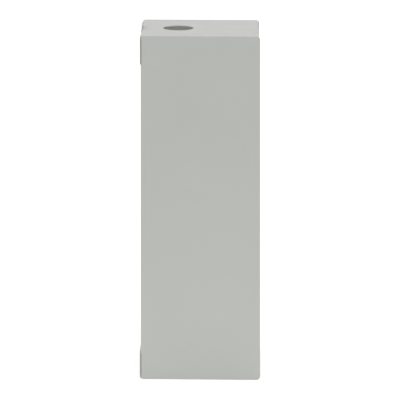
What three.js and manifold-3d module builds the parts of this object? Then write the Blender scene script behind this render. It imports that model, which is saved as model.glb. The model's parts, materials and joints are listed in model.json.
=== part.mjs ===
// Meter socket enclosure: a tall, deep, wall-hung steel box for a plug-in watt-hour meter.
// Millimetres. +Z up, +Y towards the wall, -Y towards the person in front, +X to their right.
// Origin: bottom of the box, midway across it and midway between front edges and wall.
import * as THREE from "three";
import { mergeVertices } from "three/addons/utils/BufferGeometryUtils.js";
import Module from "manifold-3d";

const wasm = await Module();
wasm.setup();

// ---------------------------------------------------------------- driving dimensions
const WIDTH = 203.2; // outside width of the shell
const HEIGHT = 660.4;
const SIDE_DEPTH = 230.1; // depth of the side walls
const SHEET = 1.5; // 16 gauge
const FIT = 0.3; // gap between welded or resting pieces

const HALF_WIDTH = WIDTH / 2;
const INNER_HALF = HALF_WIDTH - SHEET; // inside of a side wall
const END_HALF = INNER_HALF - FIT; // half the length of an end wall

const Y_WALL = 115.9; // the wall, and the outside of the end walls' back flanges
const Y_BACK = Y_WALL - SHEET - 0.2; // outside of the shell's back
const Y_INSIDE = Y_BACK - SHEET; // inside of the shell's back
const Y_FRONT = Y_BACK - SIDE_DEPTH; // front edges of the side walls
const HEM = 12; // depth of the folded hem along the side walls' front edges

const TOP_FLANGE = 54.6; // heights of the end walls' back flanges
const BOTTOM_FLANGE = 52.5;
const HUB_Y = Y_BACK - 70.7; // centre of the openings for a conduit hub
const FOOT = { r: 4, x: 66, z: 28 }; // mounting holes near the bottom

const COVER_HALF = 97.4;
const COVER_BOTTOM = 2;
const COVER_TOP = HEIGHT - 6;
const COVER_DEPTH = 13.3;
const Y_COVER = Y_FRONT + 14; // front face of the cover
const Y_STOP = Y_COVER + COVER_DEPTH + 0.6; // front of the bottom wall's upturned lip

const METER_Z = 455; // centre of the meter opening
const METER_R = 81;

const JAW_X = 33;
const JAW_Z = 50; // line jaws this far above the meter centre, load jaws below
const BLOCK_FRONT = -60; // front and back faces of the jaw blocks
const BLOCK_BACK = -30.3;
const CHANNEL_DEPTH = 8; // neutral channel in the jaw blocks
const STRAP = 4; // thickness of the current-carrying straps
const SHAFT_R = 6;
const CAM_LOW = 10; // shaft centre to the cam's face at rest

const SIDES = [["left", -1], ["right", 1]];
const ENDS = [["line", 1], ["load", -1]];
const grid = (xs, zs) => xs.flatMap((x) => zs.map((z) => [x, z]));
const STUDS = grid([-85, 85], [METER_Z - 110, METER_Z + 110]); // hold the bracket to the back
const BLOCK_SCREWS = grid([-58, 58], [METER_Z - JAW_Z, METER_Z + JAW_Z]);

// ---------------------------------------------------------------- solids
function solid(geometry) {
  geometry.deleteAttribute("normal");
  geometry.deleteAttribute("uv");
  const merged = mergeVertices(geometry, 1e-4);
  const index = merged.index.array;
  const position = merged.attributes.position;
  const vertex = (i) => new THREE.Vector3().fromBufferAttribute(position, index[i]);
  let volume = 0;
  for (let i = 0; i < index.length; i += 3) {
    volume += vertex(i).dot(vertex(i + 1).cross(vertex(i + 2)));
  }
  // a profile drawn the other way round comes out inside out: turn its faces over
  if (volume < 0) {
    for (let i = 0; i < index.length; i += 3) {
      [index[i], index[i + 1]] = [index[i + 1], index[i]];
    }
  }
  return new wasm.Manifold(
    new wasm.Mesh({
      numProp: 3,
      vertProperties: new Float32Array(position.array),
      triVerts: new Uint32Array(index),
    }),
  );
}

const add = (...solids) => solids.reduce((a, b) => a.add(b));
const cut = (body, ...tools) => tools.reduce((a, b) => a.subtract(b), body);

// The two ends of each range may come in either order.
function box(x0, x1, y0, y1, z0, z1) {
  const size = [x1 - x0, y1 - y0, z1 - z0].map(Math.abs);
  const centre = [(x0 + x1) / 2, (y0 + y1) / 2, (z0 + z1) / 2];
  return solid(new THREE.BoxGeometry(...size).translate(...centre));
}

const shapeOf = (points) => new THREE.Shape(points.map((p) => new THREE.Vector2(...p)));

function extrude(points, depth) {
  return new THREE.ExtrudeGeometry(shapeOf(points), { depth, bevelEnabled: false });
}
// A plan outline (x, y) drawn up from z0 to z1.
function alongZ(points, z0, z1) {
  return solid(extrude(points, z1 - z0).translate(0, 0, z0));
}
// A side outline (y, z) drawn across from x0 to x1.
function alongX(points, x0, x1) {
  const turn = new THREE.Matrix4().set(0, 0, 1, 0, 1, 0, 0, 0, 0, 1, 0, 0, 0, 0, 0, 1);
  return solid(extrude(points, x1 - x0).translate(0, 0, x0).applyMatrix4(turn));
}
// A front outline (x, z) drawn back from y0 to y1, with the edges at both ends rounded by r.
function alongY(points, y0, y1, r = 0) {
  const bevel = {
    depth: y1 - y0 - 2 * r,
    bevelThickness: r,
    bevelSize: r,
    bevelOffset: -r,
    bevelSegments: 3,
  };
  const geometry = r
    ? new THREE.ExtrudeGeometry(shapeOf(points), bevel)
    : extrude(points, y1 - y0);
  return solid(geometry.translate(0, 0, -y1 + r).rotateX(Math.PI / 2));
}

// Lays a shape that stands on the Y axis along an axis through (u, v), the other two coordinates.
function lay(geometry, axis, u, v) {
  if (axis === "x") geometry.rotateZ(-Math.PI / 2).translate(0, u, v);
  if (axis === "y") geometry.translate(u, 0, v);
  if (axis === "z") geometry.rotateX(Math.PI / 2).translate(u, v, 0);
  return solid(geometry);
}
function rod(axis, r, from, to, u, v, segments = 24) {
  const geometry = new THREE.CylinderGeometry(r, r, to - from, segments);
  return lay(geometry.translate(0, (from + to) / 2, 0), axis, u, v);
}
// A turned ring. Profile points are (radius, distance along the axis).
function ring(axis, profile, u, v, segments) {
  const points = [...profile, profile[0]].map((p) => new THREE.Vector2(...p));
  return lay(new THREE.LatheGeometry(points, segments), axis, u, v);
}

// Hole tool reaching through every sheet at the back of the box.
const backHole = (r, x, z, segments) => rod("y", r, 100, 120, x, z, segments);

// ---------------------------------------------------------------- outlines
function arc(a, b, r, from, to, segments) {
  return Array.from({ length: segments + 1 }, (_, i) => {
    const angle = from + ((to - from) * i) / segments;
    return [a + r * Math.cos(angle), b + r * Math.sin(angle)];
  });
}

// Rounded polygon: each corner is [a, b, radius].
function rounded(corners, segments = 4) {
  const count = corners.length;
  return corners.flatMap(([a, b, r = 0], i) => {
    if (!r) return [[a, b]];
    const [prevA, prevB] = corners[(i + count - 1) % count];
    const [nextA, nextB] = corners[(i + 1) % count];
    const corner = new THREE.Vector2(a, b);
    const toPrev = new THREE.Vector2(prevA - a, prevB - b).normalize();
    const toNext = new THREE.Vector2(nextA - a, nextB - b).normalize();
    const half = Math.acos(THREE.MathUtils.clamp(toPrev.dot(toNext), -1, 1)) / 2;
    const tangent = r / Math.tan(half);
    const bisector = toPrev.clone().add(toNext).normalize();
    const centre = corner.clone().add(bisector.multiplyScalar(r / Math.sin(half)));
    const start = corner.clone().add(toPrev.multiplyScalar(tangent)).sub(centre);
    const end = corner.clone().add(toNext.multiplyScalar(tangent)).sub(centre);
    const sweep = Math.atan2(start.x * end.y - start.y * end.x, start.dot(end));
    return Array.from({ length: segments + 1 }, (_, k) => {
      const pivot = new THREE.Vector2();
      return start.clone().rotateAround(pivot, (sweep * k) / segments).add(centre).toArray();
    });
  });
}

// Rectangle with its lower corners rounded by `low` and its upper ones by `high`.
function roundRect(a0, a1, b0, b1, low, high = low, segments = 4) {
  return rounded([[a0, b0, low], [a1, b0, low], [a1, b1, high], [a0, b1, high]], segments);
}

// Bent sheet seen on edge: a middle line of [a, b, bend radius] corners, given its thickness.
function sheet(line, thickness = SHEET, segments = 4) {
  const middle = rounded(line, segments);
  const last = middle.length - 1;
  const left = [];
  const right = [];
  middle.forEach(([a, b], i) => {
    const [prevA, prevB] = middle[Math.max(0, i - 1)];
    const [nextA, nextB] = middle[Math.min(last, i + 1)];
    const arriving = new THREE.Vector2(a - prevA, b - prevB).normalize();
    const leaving = new THREE.Vector2(nextA - a, nextB - b).normalize();
    const before = i === 0 ? leaving : arriving;
    const after = i === last ? arriving : leaving;
    const normal = new THREE.Vector2(-(before.y + after.y), before.x + after.x).normalize();
    const mitre = Math.max(0.2, normal.dot(new THREE.Vector2(-before.y, before.x)));
    const offset = thickness / 2 / mitre;
    left.push([a + normal.x * offset, b + normal.y * offset]);
    right.push([a - normal.x * offset, b - normal.y * offset]);
  });
  return [...left, ...right.reverse()];
}

// Half an outline in (x, y), closed by its mirror image across x = 0.
const mirrored = (half) => [...half, ...half.map(([x, y]) => [-x, y]).reverse()];

// ---------------------------------------------------------------- scene graph
const group = new THREE.Group();
group.name = "meter_socket_enclosure";

const FINISHES = {
  paint: { color: 0xb9bbb6, roughness: 0.55, metalness: 0.1 },
  zinc: { color: 0xa9adb0, roughness: 0.38, metalness: 0.9 },
  block: { color: 0x3a2723, roughness: 0.6, metalness: 0 },
  tin: { color: 0xc3c4c2, roughness: 0.3, metalness: 0.95 },
  copper: { color: 0xb8734a, roughness: 0.3, metalness: 0.95 },
  aluminium: { color: 0xb8bbbd, roughness: 0.35, metalness: 0.9 },
  screw: { color: 0x8f9294, roughness: 0.35, metalness: 0.9 },
  red: { color: 0xb3261e, roughness: 0.45, metalness: 0 },
  fibre: { color: 0x7b2f22, roughness: 0.6, metalness: 0 },
  green: { color: 0x2f7a3d, roughness: 0.4, metalness: 0.5 },
  spring: { color: 0x6d7073, roughness: 0.35, metalness: 0.9 },
};
const MATERIALS = Object.fromEntries(
  Object.entries(FINISHES).map(([name, look]) => [name, new THREE.MeshStandardMaterial(look)]),
);

function piece(name, body, material) {
  const { vertProperties, triVerts } = body.getMesh();
  const geometry = new THREE.BufferGeometry()
    .setAttribute("position", new THREE.BufferAttribute(new Float32Array(vertProperties), 3))
    .setIndex(new THREE.BufferAttribute(new Uint32Array(triVerts), 1));
  geometry.computeVertexNormals();
  const mesh = new THREE.Mesh(geometry, MATERIALS[material]);
  mesh.name = name;
  group.add(mesh);
}

// ---------------------------------------------------------------- features of several pieces
// Keyhole for the hanger screw, narrow end up.
function keyhole() {
  const wideZ = HEIGHT - 30;
  const narrowZ = HEIGHT - 20;
  const narrowR = 3.6;
  return add(
    backHole(6.5, 0, wideZ, 24),
    backHole(narrowR, 0, narrowZ, 20),
    box(-narrowR, narrowR, 100, 120, wideZ, narrowZ),
  );
}

// Ring-shaped slot round a knockout, bridged where `tab` crosses it.
function knockoutSlot(axis, r, from, to, u, v, tab) {
  const halfSlot = 0.3;
  return cut(
    rod(axis, r + halfSlot, from, to, u, v, 48),
    rod(axis, r - halfSlot, from - 1, to + 1, u, v, 48),
    tab,
  );
}

// Strip of an end wall turned along the inside of a side wall, from y0 back.
function sideFlange(side, y0, z0, z1) {
  return box(side * END_HALF, side * (END_HALF - SHEET), y0, 105, z0, z1);
}

// End of an end wall's back flange, flush with the outside of the shell's side.
function flangeEnd(side, z0, z1) {
  return box(side * (END_HALF - 0.3), side * HALF_WIDTH, Y_WALL - SHEET, Y_WALL, z0, z1);
}

// ---------------------------------------------------------------- shell
// Back and both sides in one bent sheet.
function enclosureShell() {
  const backBend = 3; // outside radius
  const half = [
    ...arc(HALF_WIDTH - backBend, Y_BACK - backBend, backBend, Math.PI / 2, 0, 4),
    ...arc(INNER_HALF, Y_FRONT + SHEET, SHEET, 0, -Math.PI, 6),
    [INNER_HALF - SHEET, Y_FRONT + HEM],
    [INNER_HALF, Y_FRONT + HEM],
    ...arc(INNER_HALF - SHEET, Y_INSIDE - SHEET, SHEET, 0, Math.PI / 2, 3),
  ];
  const sideOutline = rounded(
    [
      [Y_FRONT, 0, 8],
      [Y_BACK, 0, 5.5],
      [Y_BACK, HEIGHT, 4],
      [Y_FRONT, HEIGHT, 6.5],
    ],
    6,
  );
  const knockoutZ = 120;
  const tab = box(-3, 3, 95, 125, knockoutZ - 60, knockoutZ + 60);
  const shell = cut(
    alongZ(mirrored(half), 0, HEIGHT).intersect(
      alongX(sideOutline, -HALF_WIDTH - 5, HALF_WIDTH + 5),
    ),
    // room for the end walls
    box(-INNER_HALF, INNER_HALF, Y_FRONT + HEM + FIT, Y_BACK + 5, HEIGHT - 2.7, HEIGHT + 5),
    box(-INNER_HALF, INNER_HALF, -92, Y_BACK + 5, -5, SHEET + 4),
    ...[-FOOT.x, FOOT.x].map((x) => backHole(FOOT.r, x, FOOT.z, 20)),
    keyhole(),
    knockoutSlot("y", 25.4, 100, 120, 0, knockoutZ, tab),
  );
  const studs = STUDS.map(([x, z]) => rod("y", 2.5, 100, Y_INSIDE + 0.6, x, z, 16));
  return add(shell, ...studs);
}
piece("enclosure_shell", enclosureShell(), "paint");

// ---------------------------------------------------------------- top end wall
// The middle of the back flange carries on up as a tab, with a slight step forward.
function hangerTab(half) {
  const y = Y_WALL - SHEET / 2;
  const step = 0.9;
  const top = HEIGHT + 8;
  const line = [
    [y, HEIGHT - 12],
    [y, HEIGHT - 2.4],
    [y - step, HEIGHT - 0.2],
    [y - step, top],
  ];
  const outline = roundRect(-half, half, HEIGHT - 13, top, 0, 3);
  return alongX(sheet(line), -half, half).intersect(alongY(outline, 100, 120));
}

function topEndWall() {
  const lip = 25.5; // height of the rain lip above the cover
  const lipY = Y_FRONT + 2.2 + SHEET / 2;
  const hubR = 30.15;
  const hangerHalf = 21.5;
  const reliefEnd = 76; // the reliefs beside the hanger tab run out to here
  const line = [
    [Y_WALL - SHEET / 2, HEIGHT - TOP_FLANGE],
    [Y_WALL - SHEET / 2, HEIGHT - SHEET / 2, 2.25],
    [lipY, HEIGHT - SHEET / 2, 3.5],
    [lipY, HEIGHT - lip + SHEET / 2, 2.25],
    [Y_FRONT + 11.5, HEIGHT - lip + SHEET / 2],
  ];
  let wall = alongX(sheet(line, SHEET, 5), -END_HALF, END_HALF);
  for (const side of [-1, 1]) {
    const hemX = [side * (END_HALF - SHEET), side * (END_HALF + 5)];
    const reliefX = [side * hangerHalf, side * reliefEnd];
    wall = cut(
      wall,
      box(...hemX, Y_FRONT - 5, Y_FRONT + HEM + 2 * FIT, HEIGHT - 60, HEIGHT + 5),
      box(...reliefX, Y_BACK, Y_WALL + 5, HEIGHT - 9, HEIGHT + 10),
    );
    wall = add(
      wall,
      sideFlange(side, -98, HEIGHT - 15, HEIGHT - SHEET / 2),
      flangeEnd(side, HEIGHT - TOP_FLANGE, HEIGHT - 7),
    );
  }
  const hub = rod("z", hubR, HEIGHT - 5, HEIGHT + 5, 0, HUB_Y, 64);
  return cut(add(wall, hangerTab(hangerHalf)), hub, keyhole());
}
piece("top_end_wall", topEndWall(), "paint");

// ---------------------------------------------------------------- bottom end wall
// Knockouts: x, y, radius, angle of the tabs in radians.
const BOTTOM_KNOCKOUTS = [
  [0, HUB_Y, 31.8, 0],
  [0, HUB_Y, 25.4, Math.PI / 2],
  [-58, -30, 14.1, 0.6],
  [58, -30, 14.1, -0.6],
];

function bottomEndWall() {
  const line = [
    [Y_WALL - SHEET / 2, BOTTOM_FLANGE],
    [Y_WALL - SHEET / 2, SHEET / 2, 5.25],
    [Y_STOP + SHEET / 2, SHEET / 2, 2.25],
    [Y_STOP + SHEET / 2, 40],
  ];
  let wall = alongX(sheet(line, SHEET, 5), -END_HALF, END_HALF);
  for (const side of [-1, 1]) {
    const corner = [
      [side * 94, BOTTOM_FLANGE + 1],
      [side * 104, BOTTOM_FLANGE + 1],
      [side * 104, BOTTOM_FLANGE - 7],
    ];
    wall = cut(
      add(wall, sideFlange(side, -80, SHEET / 2, 15), flangeEnd(side, 8, BOTTOM_FLANGE)),
      backHole(FOOT.r, side * FOOT.x, FOOT.z, 20),
      alongY(corner, 105, 120),
    );
  }
  const slots = BOTTOM_KNOCKOUTS.map(([x, y, r, turn]) => {
    const tab = box(-2.5, 2.5, -r - 5, r + 5, -5, 6)
      .rotate([0, 0, THREE.MathUtils.radToDeg(turn)])
      .translate([x, y, 0]);
    return knockoutSlot("z", r, -3, 5, x, y, tab);
  });
  return cut(wall, ...slots);
}
piece("bottom_end_wall", bottomEndWall(), "paint");

// ---------------------------------------------------------------- cover ledges
// Angle strips inside the side walls that the cover closes against.
function coverLedge(side) {
  const x = side * (END_HALF - SHEET / 2);
  const y = -86.85;
  const line = [
    [x, -70],
    [x, y, 2],
    [side * 90.5, y],
  ];
  return alongZ(sheet(line), 42, 600);
}
for (const [name, side] of SIDES) piece(`cover_ledge_${name}`, coverLedge(side), "paint");

// ---------------------------------------------------------------- bracket
// Carries the jaw blocks forward of the shell's back.
function meterBracket() {
  const thickness = 2;
  const footY = Y_INSIDE - FIT - thickness / 2;
  const plateY = -29; // middle plane of the plate
  const legX = 76;
  const footX = 93;
  const bend = 4;
  const line = [
    [-footX, footY],
    [-legX, footY, bend],
    [-legX, plateY, bend],
    [legX, plateY, bend],
    [legX, footY, bend],
    [footX, footY],
  ];
  const window = (z0, z1) => alongX(roundRect(30, 85, z0, z1, 10), -80, 80);
  const plateHole = (r, x, z, segments) => rod("y", r, -40, -20, x, z, segments);
  return cut(
    alongZ(sheet(line, thickness), METER_Z - 135, METER_Z + 135),
    window(METER_Z - 110, METER_Z - 25),
    window(METER_Z + 25, METER_Z + 110),
    rod("x", 8.2, -80, 80, 0, METER_Z, 32),
    ...STUDS.map(([x, z]) => backHole(3, x, z, 16)),
    ...BLOCK_SCREWS.map(([x, z]) => plateHole(3.2, x, z, 16)),
    ...[-JAW_X, JAW_X].map((x) => plateHole(7, x, METER_Z, 24)),
  );
}
piece("meter_bracket", meterBracket(), "zinc");

function bracketNut(x, z) {
  const hexagon = rod("y", 5.6, Y_INSIDE - 6.8, Y_INSIDE - 2.6, x, z, 6);
  return cut(hexagon, backHole(2.8, x, z, 16));
}
STUDS.forEach(([x, z], i) => piece(`bracket_nut_${i + 1}`, bracketNut(x, z), "screw"));

// ---------------------------------------------------------------- jaw blocks
// Right half of a block in plan (x, y): neutral channel, rib beside it, body, foot.
const BLOCK_HALF = [
  [11.5, BLOCK_FRONT + CHANNEL_DEPTH],
  [11.5, BLOCK_FRONT - 15],
  [12.5, BLOCK_FRONT - 16],
  [15.5, BLOCK_FRONT - 16],
  [16.5, BLOCK_FRONT - 15],
  [16.5, BLOCK_FRONT],
  [66, BLOCK_FRONT],
  [68, BLOCK_FRONT + 2],
  [68, BLOCK_BACK - 6],
  [72, BLOCK_BACK - 5],
  [72, BLOCK_BACK],
];

function jawBlock(z) {
  const half = 27;
  const holes = [-58, 58].flatMap((x) => [
    rod("y", 3.2, -70, -20, x, z, 16),
    rod("y", 7.5, -70, BLOCK_FRONT + 5, x, z), // counterbore
  ]);
  return cut(alongZ(mirrored(BLOCK_HALF), z - half, z + half), ...holes);
}
for (const [name, end] of ENDS) {
  piece(`${name}_jaw_block`, jawBlock(METER_Z + end * JAW_Z), "block");
}

function blockScrew(x, z) {
  return add(
    rod("y", 5.8, BLOCK_FRONT + 0.8, BLOCK_FRONT + 4.9, x, z, 6),
    rod("y", 2.8, BLOCK_FRONT + 4, -24, x, z, 16),
  );
}
BLOCK_SCREWS.forEach(([x, z], i) => piece(`block_screw_${i + 1}`, blockScrew(x, z), "screw"));

// ---------------------------------------------------------------- lugs
const LUG_DEPTH = 24;

// A lug stands forward of its seat, with a wire hole up through it and a screw hole in front.
function lug({ x, z, seat, halfWidth, halfHeight, wireR }) {
  const front = seat - LUG_DEPTH;
  const bottom = z - halfHeight;
  const top = z + halfHeight;
  const wireY = seat - 2.5 - wireR;
  const outline = roundRect(x - halfWidth, x + halfWidth, bottom, top, 1.5, 1.5, 2);
  return cut(
    alongY(outline, front, seat),
    rod("z", wireR, bottom - 2, top + 2, x, wireY, 28),
    rod("y", 6.75, front - 2, wireY, x, z),
  );
}

// Socket-head screw, standing slightly forward of the lug.
function lugScrew({ x, z, seat }) {
  const r = 6.6;
  const front = seat - LUG_DEPTH;
  return cut(
    rod("y", r, front - 2.5, front + 6, x, z),
    rod("y", r / 2, front - 4, front + 2.5, x, z, 6),
  );
}

// ---------------------------------------------------------------- jaws
const JAW_SEAT = BLOCK_FRONT - FIT;
const HALF_BLADE_SLOT = 1.3;

// One leaf of a jaw in plan: distance out from the blade slot's face, y from the seat.
const JAW_LEAF = [
  [0, -3.9], [0, -19], [0.1, -22], [3, -28],
  [4.6, -27], [2.6, -21.5], [2.4, -8], [5, -3.9],
];

// Strap from the bypass end, under the jaw, out to the lug, with the jaw's two leaves.
function jaw(x, end) {
  const z = METER_Z + end * JAW_Z;
  const ends = [METER_Z + end * 15, METER_Z + end * 112];
  const outline = roundRect(x - 12, x + 12, Math.min(...ends), Math.max(...ends), 3, 3, 2);
  const leaves = [1, -1].map((face) => {
    const points = JAW_LEAF.map(([out, y]) => [
      x + face * (HALF_BLADE_SLOT + out),
      JAW_SEAT + y,
    ]);
    return alongZ(points, z - 10, z + 10);
  });
  return add(alongY(outline, JAW_SEAT - STRAP, JAW_SEAT), ...leaves);
}

// Rectangular band round both leaves.
function jawBand(x, z) {
  const y = JAW_SEAT - 15;
  const outer = HALF_BLADE_SLOT + 4.2;
  const inner = HALF_BLADE_SLOT + 2.8;
  return cut(
    box(x - outer, x + outer, y - 2.2, y + 2.2, z - 12, z + 12),
    box(x - inner, x + inner, y - 5, y + 5, z - 10.4, z + 10.4),
  );
}

for (const [sideName, side] of SIDES) {
  for (const [endName, end] of ENDS) {
    const x = side * JAW_X;
    const jawLug = {
      x,
      z: METER_Z + end * 97,
      seat: JAW_SEAT - STRAP - FIT,
      halfWidth: 12.5,
      halfHeight: 14,
      wireR: 8.2,
    };
    piece(`${endName}_jaw_${sideName}`, jaw(x, end), "tin");
    piece(`${endName}_jaw_band_${sideName}`, jawBand(x, METER_Z + end * JAW_Z), "spring");
    piece(`${endName}_lug_${sideName}`, lug(jawLug), "aluminium");
    piece(`${endName}_lug_screw_${sideName}`, lugScrew(jawLug), "screw");
  }
}

// ---------------------------------------------------------------- neutral strap and its lugs
const NEUTRAL_SEAT = BLOCK_FRONT + CHANNEL_DEPTH - FIT;

function neutralStrap() {
  const outline = roundRect(-9, 9, METER_Z - 118, METER_Z + 118, 2, 2, 2);
  return alongY(outline, NEUTRAL_SEAT - STRAP, NEUTRAL_SEAT);
}
piece("neutral_strap", neutralStrap(), "tin");

for (const [name, end] of ENDS) {
  const neutralLug = {
    x: 0,
    z: METER_Z + end * 103,
    seat: NEUTRAL_SEAT - STRAP - FIT,
    halfWidth: 10.5,
    halfHeight: 13,
    wireR: 7.6,
  };
  piece(`neutral_lug_${name}`, lug(neutralLug), "aluminium");
  piece(`neutral_lug_screw_${name}`, lugScrew(neutralLug), "screw");
}

// ---------------------------------------------------------------- bypass
// Lever, shaft and cams push a contact bridge across each phase.
const BORE_R = SHAFT_R + 0.2; // bore of the parts on the shaft
const BRIDGE_FRONT = -50;
const BRIDGE_BACK = -45.9;

piece("bypass_shaft", rod("x", SHAFT_R, -83, 88, 0, METER_Z, 28), "zinc");

function shaftBushing(side) {
  const bore = SHAFT_R + 0.1;
  // radius, distance out from the middle of the box
  const profile = [
    [bore, 72],
    [7.9, 72],
    [7.9, 77.4],
    [10.5, 77.4],
    [10.5, 79],
    [bore, 79],
  ];
  return ring("x", profile.map(([r, out]) => [r, side * out]), 0, METER_Z, 28);
}

// The cam's rise is the same for every degree of lever, so its face is an involute.
function bypassCam(x) {
  const travel = 10;
  const sweep = (120 * Math.PI) / 180;
  const steps = 24;
  const rise = travel / sweep; // per radian
  const lobe = [];
  for (let n = -2; n <= steps + 2; n++) {
    const angle = (n * sweep) / steps;
    const height = CAM_LOW + rise * angle;
    lobe.push([
      -height * Math.cos(angle) + rise * Math.sin(angle),
      METER_Z - height * Math.sin(angle) - rise * Math.cos(angle),
    ]);
  }
  return cut(
    add(alongX(lobe, x - 5, x + 5), rod("x", 9.5, x - 5, x + 5, 0, METER_Z, 32)),
    rod("x", BORE_R, x - 8, x + 8, 0, METER_Z, 28),
  );
}

// Insulating rod with a broad foot that rests on the cam, behind the bracket plate.
function bridgeCarrier(x) {
  const footBack = -CAM_LOW - FIT;
  const foot = roundRect(x - 10, x + 10, METER_Z - 13, METER_Z + 13, 3, 3, 2);
  return add(
    rod("y", 6.2, BRIDGE_BACK + FIT, footBack - 0.5, x, METER_Z),
    alongY(foot, footBack - 4, footBack),
  );
}

function contactBridge(x) {
  const outline = roundRect(x - 11, x + 11, METER_Z - 21, METER_Z + 21, 2, 2, 2);
  return alongY(outline, BRIDGE_FRONT, BRIDGE_BACK);
}

for (const [name, side] of SIDES) {
  const x = side * JAW_X;
  piece(`shaft_bushing_${name}`, shaftBushing(side), "fibre");
  piece(`bypass_cam_${name}`, bypassCam(x), "fibre");
  piece(`bridge_carrier_${name}`, bridgeCarrier(x), "fibre");
  piece(`contact_bridge_${name}`, contactBridge(x), "copper");
}

// The lever is on the right-hand end of the shaft and hangs down at rest.
const LEVER = { x0: 80.5, x1: 84, half: 9, bottom: METER_Z - 58, bottomR: 6 };

function bypassLever() {
  const { x0, x1, half, bottom, bottomR } = LEVER;
  const outline = roundRect(-half, half, bottom, METER_Z + 9, bottomR, 8.5);
  return cut(alongX(outline, x0, x1), rod("x", BORE_R, 78, 90, 0, METER_Z, 28));
}

function leverGrip() {
  const { x0, x1, half, bottom, bottomR } = LEVER;
  const outline = roundRect(-10, 10, METER_Z - 76, METER_Z - 34, 7, 4);
  const pocket = roundRect(-half - FIT, half + FIT, bottom - FIT, METER_Z - 20, bottomR, 0);
  return cut(alongX(outline, 78.2, 88.6), alongX(pocket, x0 - FIT, x1 + FIT));
}
piece("bypass_lever", bypassLever(), "zinc");
piece("lever_grip", leverGrip(), "red");

// ---------------------------------------------------------------- ground lug on the back
const GROUND = { x: 41, wireScrewZ: 200, bondScrewZ: 222 };

function groundLug() {
  const { x, wireScrewZ, bondScrewZ } = GROUND;
  const base = roundRect(x - 11, x + 11, 190, 232, 2, 2, 2);
  return cut(
    add(
      alongY(base, Y_INSIDE - 3.2, Y_INSIDE - 0.2),
      box(x - 9, x + 9, Y_INSIDE - 19, Y_INSIDE - 3, 190, 210),
    ),
    rod("z", 5, 185, 215, x, Y_INSIDE - 9.5),
    rod("y", 4.2, 85, Y_INSIDE - 10, x, wireScrewZ, 20),
    backHole(3.2, x, bondScrewZ, 16),
  );
}

function groundLugScrew() {
  const { x, wireScrewZ: z } = GROUND;
  return cut(
    rod("y", 4.05, Y_INSIDE - 22.5, Y_INSIDE - 13.5, x, z, 20),
    box(x - 0.6, x + 0.6, Y_INSIDE - 25, Y_INSIDE - 21, z - 5, z + 5),
  );
}

function groundBondScrew() {
  const { x, bondScrewZ: z } = GROUND;
  return add(
    rod("y", 5.6, Y_INSIDE - 7.6, Y_INSIDE - 3.5, x, z, 6),
    rod("y", 2.9, Y_INSIDE - 4, Y_INSIDE - 0.3, x, z, 16),
  );
}
piece("ground_lug", groundLug(), "aluminium");
piece("ground_lug_screw", groundLugScrew(), "screw");
piece("ground_bond_screw", groundBondScrew(), "green");

// ---------------------------------------------------------------- cover
// Collar round the meter opening, with a fillet where it meets the cover's face.
function meterCollar() {
  const outerR = METER_R + SHEET;
  const front = Y_COVER - 11;
  const back = Y_COVER + SHEET;
  const fillet = 4;
  const chamfer = 0.5;
  const profile = [
    [METER_R, back],
    [METER_R, front + chamfer],
    [METER_R + chamfer, front],
    [outerR - chamfer, front],
    [outerR, front + chamfer],
    ...arc(outerR + fillet, Y_COVER - fillet, fillet, Math.PI, Math.PI / 2, 4),
    [outerR + fillet, back],
  ];
  return ring("y", profile, 0, METER_Z, 72);
}

// A shallow pan, open at the back, with a slot for the staple.
function cover() {
  const back = Y_COVER + COVER_DEPTH;
  const innerHalf = COVER_HALF - SHEET;
  const outside = roundRect(-COVER_HALF, COVER_HALF, COVER_BOTTOM, COVER_TOP, 3);
  const inside = roundRect(
    -innerHalf, innerHalf, COVER_BOTTOM + SHEET, COVER_TOP - SHEET, 1.5, 1.5, 3,
  );
  const pan = cut(
    alongY(outside, Y_COVER, back + 10, 2.5),
    alongY(inside, Y_COVER + SHEET, back + 20, 1),
    box(-150, 150, back, Y_COVER + 60, -20, HEIGHT + 20),
    rod("y", METER_R + 3, Y_COVER - 20, Y_COVER + 20, 0, METER_Z, 72),
  );
  return cut(add(pan, meterCollar()), box(-3, 3, Y_COVER - 5, Y_COVER + 5, 14, 36));
}
piece("cover", cover(), "paint");

// ---------------------------------------------------------------- hasp on the cover
const PIN_Y = Y_COVER - 3.8;
const PIN_Z = 58;
const KNUCKLE_R = 3.2;
const HASP_SEAT = Y_COVER - FIT;
const HASP_RIVETS = { xs: [-10, 10], z: 77 };

const acrossPin = (r, x0, x1, segments) => rod("x", r, x0, x1, PIN_Y, PIN_Z, segments);

function haspBase() {
  const half = 5.5; // half the middle knuckle's length
  const { xs, z } = HASP_RIVETS;
  return cut(
    add(
      alongY(roundRect(-16, 16, 63, 88, 2, 4, 3), HASP_SEAT - 1.6, HASP_SEAT),
      acrossPin(KNUCKLE_R, -half, half, 20),
      box(-half, half, PIN_Y, HASP_SEAT, PIN_Z, 65),
    ),
    acrossPin(1.6, -20, 20, 16),
    ...xs.map((x) => rod("y", 1.8, HASP_SEAT - 5, HASP_SEAT + 5, x, z, 16)),
  );
}

function hasp() {
  const leaf = cut(
    alongY(roundRect(-13, 13, 5, PIN_Z, 5, 0), PIN_Y - 1, PIN_Y + 1),
    box(-6, 6, PIN_Y - 5, PIN_Y + 5, PIN_Z - 4.2, PIN_Z + 5),
  );
  return cut(
    add(leaf, acrossPin(KNUCKLE_R, -13, -6, 20), acrossPin(KNUCKLE_R, 6, 13, 20)),
    acrossPin(1.6, -20, 20, 16),
    box(-3.2, 3.2, PIN_Y - 5, PIN_Y + 5, 11, 36),
  );
}

function haspPin() {
  return add(
    acrossPin(1.5, -14.5, 14.5, 16),
    acrossPin(2.6, -14.6, -13.3, 16),
    acrossPin(2.6, 13.3, 14.6, 16),
  );
}
piece("hasp_base", haspBase(), "zinc");
piece("hasp", hasp(), "zinc");
piece("hasp_pin", haspPin(), "screw");

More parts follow.
